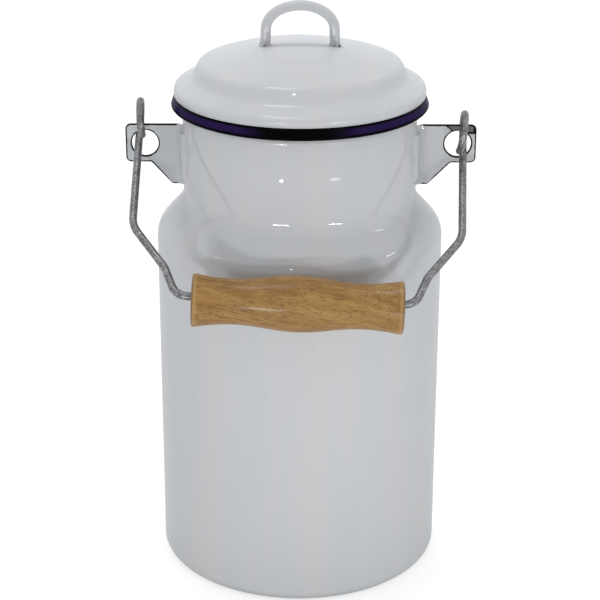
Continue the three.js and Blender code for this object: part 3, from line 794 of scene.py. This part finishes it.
def hung(points):
    """Points of the bail as it stands upright on its hinge line, turned about X to lie forward, tilted
    about Y to the line between the eyes, and moved to the hinge."""
    cosine, sine = np.cos(rest_turn), np.sin(rest_turn)
    x, y, z = points[..., 0], points[..., 1], points[..., 2]
    y, z = y * cosine - z * sine, y * sine + z * cosine
    x, z = x * np.cos(tilt) + z * np.sin(tilt), z * np.cos(tilt) - x * np.sin(tilt)
    return np.stack([x, y, z], axis=-1) + hinge


throat = GRIP_LENGTH / 2 + THROAT_CLEARANCE


def bail_half(eye_turn, toe_in, run_shift):
    """The left half of the wire, upright on its hinge line: a ring about the hinge, drawn in by the
    square of its turn, then the leg in front of it, with a round at each bend. Gives the path and,
    for each point, the side that its sections start from."""
    angle = np.linspace(eye_turn, 0, EYE_STEPS)
    eye = np.stack([
        EYE_PITCH * (angle / (2 * np.pi)) ** 2 - BAIL_HALF_SPAN,
        -EYE_RADIUS * np.cos(angle),
        -EYE_RADIUS * np.sin(angle),
    ], axis=1)
    leg = spaced(rounded_line([
        (-BAIL_HALF_SPAN, 0, 0),
        (toe_in - BAIL_HALF_SPAN, bail_reach - LEG_BEND_SETBACK, LEG_BEND_ROUND),
        (run_shift - throat - ELBOW_FLARE, bail_reach - ELBOW_SETBACK, ELBOW_ROUND),
        (run_shift - throat, bail_reach, THROAT_ROUND),
        (run_shift, bail_reach, 0),
    ]), LEG_SPACING)
    leg = np.stack([leg[:, 0], leg[:, 0] * 0 - EYE_RADIUS, leg[:, 1]], axis=1)
    path = np.vstack([eye, leg[1:]])
    quarter_turn = np.clip(path[:, 2] / (bail_reach - LEG_BEND_SETBACK) * 2, 0, 1) * np.pi / 2
    quarter_turn[:EYE_STEPS] = 0
    return path, np.stack([np.cos(quarter_turn), np.sin(quarter_turn), quarter_turn * 0], axis=1)


left_path, left_side = bail_half(EYE_LEFT_TURN, LEG_LEFT_TOE_IN, BAIL_RUN_SHIFT)
right_path, right_side = bail_half(EYE_RIGHT_TURN, LEG_RIGHT_TOE_IN, -BAIL_RUN_SHIFT)
mirror = np.array([-1, 1, 1])
wire_path = np.vstack([left_path, (right_path * mirror)[-2::-1]])
wire_reference = np.vstack([left_side, (right_side * -mirror)[-2::-1]])
wire_run = run_of(wire_path)[-1]
wire_middle = np.linspace(WIRE_END_ROUND, wire_run - WIRE_END_ROUND, int(wire_run / WIRE_SPACING))
end_angle = np.linspace(0, np.pi / 2, WIRE_END_STEPS, endpoint=False)
end_stops = WIRE_END_ROUND * (1 - np.cos(end_angle))
end_radius = WIRE_RADIUS - WIRE_END_ROUND * (1 - np.sin(end_angle))
wire_stops = np.r_[0, end_stops, wire_middle, wire_run - end_stops[::-1], wire_run]
wire_radius = np.r_[0, end_radius, np.full_like(wire_middle, WIRE_RADIUS), end_radius[::-1], 0]

zinc, tree, shader, place = new_finish("galvanised_zinc")
spots = noise(tree, place, ZINC_SPOTS_PER_METRE, detail=3.0, roughness=0.6)
patches = product(tree, noise(tree, place, ZINC_PATCHES_PER_METRE, detail=3.0), ZINC_PATCH_SHARE)
light_share = between(tree, sum_of(tree, spots, patches), *ZINC_FADE)
tree.links.new(mixed(tree, light_share, ZINC_DARK, ZINC_LIGHT), shader.inputs["Base Color"])
shader.inputs["Metallic"].default_value = ZINC_METAL_SHARE
shader.inputs["Specular IOR Level"].default_value = ZINC_SPECULAR
dullness = between(tree, spots, *ZINC_SPOT_FADE, ZINC_DULL, ZINC_RUBBED)
tree.links.new(dullness, shader.inputs["Roughness"])
raise_surface(tree, shader, product(tree, spots, ZINC_SPOT_HEIGHT))
wire_points = hung(tube(wire_path, wire_stops, wire_radius, wire_reference, WIRE_SIDES))
add_piece("bail_rod", wire_points, "bail", "bail_wire", zinc)

# Grip. A beech turning with a full belly and two waists, bored through and threaded on the wire
# before the second eye is bent. Satin varnish lies over short dark pores that run along the grain.
GRIP_WAIST_RADIUS = 0.0097
GRIP_WAIST_OFFSET = 0.027
GRIP_END_RADIUS = 0.0114
GRIP_END_ROUND = 0.0011
GRIP_BORE_RADIUS = 0.0036
GRIP_BORE_CHAMFER = 0.0004
GRIP_CURVE_STEPS = 28
GRIP_SIDES = 96
GRIP_SLIDE = 0.001
GRAIN_LEAN = np.radians(12)
BEECH_LIGHT = (0.385, 0.222, 0.070)
BEECH_DEEP = (0.245, 0.120, 0.024)
BEECH_FADE = (0.55, 1.05)
BANDS_DRAWN_OUT = (0.10, 1, 1)
BANDS_PER_METRE = 330
BAND_HEIGHT = 0.00010
CLOUDS_DRAWN_OUT = (0.35, 1, 1)
CLOUDS_PER_METRE = 70
CLOUD_SHARE = 0.6
BEECH_PORE = (0.13, 0.055, 0.014)
PORES_DRAWN_OUT = (0.055, 1, 1)
PORES_PER_METRE = 3200
PORE_FADE = (0.56, 0.67)
PORE_STRENGTH = 0.8
PORE_DEPTH = 0.00006
BEECH_ARRIS = (0.46, 0.29, 0.12)
ARRIS_FADE = (0.0026, 0.0016)
ARRIS_STRENGTH = 0.45
BEECH_END_GRAIN = (0.16, 0.09, 0.04)
END_GRAIN_FADE = (0.0010, 0.0006)
END_GRAIN_STRENGTH = 0.75
FUZZ_HEIGHT = 0.00009
FUZZ_PER_METRE = 1500
BEECH_ROUGHNESS = 0.5
BEECH_SPECULAR = 0.2
VARNISH_WEIGHT = 0.35
VARNISH_HAZE = 0.22

half = GRIP_LENGTH / 2
end_start = half - GRIP_END_ROUND
share = np.linspace(0, 1, GRIP_CURVE_STEPS, endpoint=False)
belly_fall = (GRIP_BELLY_RADIUS - GRIP_WAIST_RADIUS) * (1 - np.cos(np.pi * share)) / 2
belly = np.stack([GRIP_BELLY_RADIUS - belly_fall, GRIP_WAIST_OFFSET * share], axis=1)
flared = np.stack([
    GRIP_WAIST_RADIUS + (GRIP_END_RADIUS - GRIP_WAIST_RADIUS) * share ** 2,
    GRIP_WAIST_OFFSET + (end_start - GRIP_WAIST_OFFSET) * share,
], axis=1)
end_turn = np.linspace(0, np.pi / 2, ARC_STEPS)
end = np.stack([
    GRIP_END_RADIUS - GRIP_END_ROUND * (1 - np.cos(end_turn)),
    end_start + GRIP_END_ROUND * np.sin(end_turn),
], axis=1)
bore = np.array([
    (GRIP_BORE_RADIUS + GRIP_BORE_CHAMFER, half),
    (GRIP_BORE_RADIUS, half - GRIP_BORE_CHAMFER),
])
grip_half = np.vstack([belly, flared, end, bore])
grip_profile = np.vstack([(grip_half * (1, -1))[:0:-1], grip_half])
upright = turned(grip_profile, GRIP_SIDES)
lying = np.stack([upright[..., 2], upright[..., 0], upright[..., 1]], axis=-1)
sag = GRIP_BORE_RADIUS - WIRE_RADIUS - SEAT_GAP
grip_centre = np.array([
    BAIL_RUN_SHIFT + GRIP_SLIDE,
    -EYE_RADIUS - sag * np.sin(rest_turn),
    bail_reach - sag * np.cos(rest_turn),
])

beech, tree, shader, place = new_finish("varnished_beech")
grip_middle = hung(grip_centre)
centred = add_node(
    tree,
    "ShaderNodeMapping",
    {"Vector": place, "Location": tuple(grip_middle), "Rotation": (0, tilt + GRAIN_LEAN, 0)},
    vector_type="TEXTURE",
).outputs["Vector"]
drawn_out = stretched(tree, centred, BANDS_DRAWN_OUT)
bands = noise(tree, drawn_out, BANDS_PER_METRE, detail=3.0, roughness=0.6, distortion=0.5)
cloud = noise(tree, stretched(tree, centred, CLOUDS_DRAWN_OUT), CLOUDS_PER_METRE)
light_share = between(tree, sum_of(tree, bands, product(tree, cloud, CLOUD_SHARE)), *BEECH_FADE)
tone = mixed(tree, light_share, BEECH_DEEP, BEECH_LIGHT)
pore = noise(tree, stretched(tree, centred, PORES_DRAWN_OUT), PORES_PER_METRE, detail=1.0)
pore_share = between(tree, pore, *PORE_FADE)
tone = mixed(tree, product(tree, pore_share, PORE_STRENGTH), tone, BEECH_PORE)
from_end = carried(tree, "from_end")
arris_share = between(tree, from_end, *ARRIS_FADE, to_high=ARRIS_STRENGTH)
tone = mixed(tree, arris_share, tone, BEECH_ARRIS)
end_share = between(tree, from_end, *END_GRAIN_FADE, to_high=END_GRAIN_STRENGTH)
tree.links.new(mixed(tree, end_share, tone, BEECH_END_GRAIN), shader.inputs["Base Color"])
shader.inputs["Roughness"].default_value = BEECH_ROUGHNESS
shader.inputs["Specular IOR Level"].default_value = BEECH_SPECULAR
shader.inputs["Coat Weight"].default_value = VARNISH_WEIGHT
shader.inputs["Coat Roughness"].default_value = VARNISH_HAZE
pores_and_bands = sum_of(tree, product(tree, pore_share, -PORE_DEPTH), product(tree, bands, BAND_HEIGHT))
fuzz = product(tree, noise(tree, centred, FUZZ_PER_METRE), FUZZ_HEIGHT)
raise_surface(tree, shader, sum_of(tree, pores_and_bands, fuzz))
along_grip = np.repeat(grip_profile[:, 1:], GRIP_SIDES, axis=1)
layers = {"from_end": half - np.abs(along_grip)}
lying = hung(lying + grip_centre)
add_piece("beech_grip", lying, "hand_grip", "grip", beech, rows_close=True, attributes=layers)

# Floor, light and camera. A white sheet under the can and soft white light all round, strongest from
# behind. Lamps low in front and above give the shadows their direction, two at the sides lift the can's
# flanks, and small ones low down and high up put the gloss on the enamel.
FLOOR_SIZE = 12.0
FLOOR_LIT_TONE = (0.61, 0.61, 0.61)
FLOOR_SHADED_TONE = (0.5, 0.5, 0.5)
FLOOR_GLOW = 0.63
LIGHT_IN_FRONT = 0.0
LIGHT_BEHIND = 1.18
LIGHT_FROM_ABOVE = 0.24
CAMERA_LENS = 113.64
CAMERA_SENSOR = 36.0
CAMERA_PLACE = Vector((0.00025, -0.8174, 0.4572))
CAMERA_TARGET = Vector((0.00025, 0.0, 0.1233))
CAMERA_ROLL = np.radians(0.18)
# Each lamp's name, azimuth, elevation, distance, width, height, level and whether it is mirrored.
LAMPS = [
    ("lamp_front_left", -17, -13.5, 0.59, 0.14, 0.02, 0.17, True),
    ("lamp_front_middle", 8, -6, 0.59, 0.08, 0.02, 0.08, False),
    ("lamp_front_right", 33, -13.5, 0.59, 0.12, 0.02, 0.14, True),
    ("lamp_low_left", -17, -20.0, 0.59, 0.03, 0.002, 0.002, True),
    ("lamp_low_right", 33, -20.0, 0.59, 0.09, 0.002, 0.0012, True),
    ("lamp_side_left", -90, 8, 0.9, 0.2, 0.1, 0.065, False),
    ("lamp_side_right", 95, 8, 0.9, 0.2, 0.1, 0.03, False),
    ("lamp_high_left", -75, 30, 1.2, 0.12, 0.05, 0.010, True),
    ("lamp_high_middle", -7, 32, 1.2, 0.05, 0.05, 0.012, True),
    ("lamp_high_right", 85, 30, 1.2, 0.20, 0.06, 0.022, True),
    ("lamp_above", 180, 80, 1.3, 0.15, 0.15, 0.18, False),
    ("lamp_above_left", -120, 80, 1.3, 0.40, 0.40, 0.13, True),
]


def rays_that_show(tree):
    """1 for the rays that show what is behind the can, straight, mirrored or through glass, and 0 for
    the rays that light it."""
    kinds = tree.nodes.new("ShaderNodeLightPath").outputs
    shown = sum_of(tree, kinds["Is Camera Ray"], kinds["Is Glossy Ray"])
    inputs = {0: shown, 1: kinds["Is Transmission Ray"]}
    return add_node(tree, "ShaderNodeMath", inputs, operation="ADD", use_clamp=True).outputs[0]


far = FLOOR_SIZE / 2
floor_mesh = bpy.data.meshes.new("floor")
floor_mesh.from_pydata(
    [(-far, -far, 0), (far, -far, 0), (far, far, 0), (-far, far, 0)], [], [(0, 1, 2, 3)]
)
floor = bpy.data.objects.new("floor", floor_mesh)
bpy.context.scene.collection.objects.link(floor)
paper, tree, shader, place = new_finish("white_paper")
lit = add_node(tree, "ShaderNodeBsdfDiffuse", {"Color": (*FLOOR_LIT_TONE, 1)}).outputs[0]
shaded = add_node(tree, "ShaderNodeBsdfDiffuse", {"Color": (*FLOOR_SHADED_TONE, 1)}).outputs[0]
glow = add_node(tree, "ShaderNodeEmission", {"Strength": FLOOR_GLOW}).outputs[0]
paper_seen = add_node(tree, "ShaderNodeAddShader", {0: shaded, 1: glow}).outputs[0]
paper_mix = add_node(tree, "ShaderNodeMixShader", {0: rays_that_show(tree), 1: lit, 2: paper_seen})
tree.links.new(paper_mix.outputs[0], tree.nodes["Material Output"].inputs["Surface"])
tree.nodes.remove(shader)
floor_mesh.materials.append(paper)

world = bpy.data.worlds.new("soft_light")
bpy.context.scene.world = world
world.use_nodes = True
tree = world.node_tree
way = tree.nodes.new("ShaderNodeTexCoord").outputs["Generated"]
inputs = {"Value": coordinate(tree, way, "Y"), "From Min": -1}
inputs |= {"To Min": LIGHT_IN_FRONT, "To Max": LIGHT_BEHIND}
soft = add_node(tree, "ShaderNodeMapRange", inputs).outputs[0]
soft = sum_of(tree, soft, product(tree, coordinate(tree, way, "Z"), LIGHT_FROM_ABOVE))
level = add_node(tree, "ShaderNodeMapRange", {"Value": rays_that_show(tree), "To Min": soft, "To Max": 1.0})
tree.nodes["Background"].inputs["Color"].default_value = (1, 1, 1, 1)
tree.links.new(level.outputs[0], tree.nodes["Background"].inputs["Strength"])


def add_lamp(name, azimuth, elevation, distance, width, height, level, is_mirrored):
    """A rectangular lamp that faces the lid's step. The azimuth turns in degrees from the camera's side
    towards +X. The level is the light that it adds there, as a share of plain light, and its power is
    the level times the square of pi times the distance. It may be left out of the mirror images."""
    data = bpy.data.lights.new(name, "AREA")
    data.shape = "RECTANGLE"
    data.size = width
    data.size_y = height
    data.energy = level * (np.pi * distance) ** 2
    lamp = bpy.data.objects.new(name, data)
    bpy.context.scene.collection.objects.link(lamp)
    a, e = np.radians(azimuth), np.radians(elevation)
    back = Vector((np.sin(a) * np.cos(e), -np.cos(a) * np.cos(e), np.sin(e)))
    lamp.location = Vector((0, 0, lid_step)) + back * distance
    lamp.rotation_mode = "QUATERNION"
    lamp.rotation_quaternion = back.to_track_quat("Z", "Y")
    lamp.visible_camera = False
    lamp.visible_glossy = is_mirrored


for lamp_row in LAMPS:
    add_lamp(*lamp_row)

camera_data = bpy.data.cameras.new("camera")
camera_data.lens = CAMERA_LENS
camera_data.sensor_width = CAMERA_SENSOR
camera = bpy.data.objects.new("camera", camera_data)
bpy.context.scene.collection.objects.link(camera)
camera.location = CAMERA_PLACE
camera.rotation_mode = "QUATERNION"
aim = (CAMERA_TARGET - CAMERA_PLACE).to_track_quat("-Z", "Y")
camera.rotation_quaternion = aim @ Quaternion((0, 0, 1), CAMERA_ROLL)
bpy.context.scene.camera = camera
bpy.context.scene.view_settings.view_transform = "Standard"
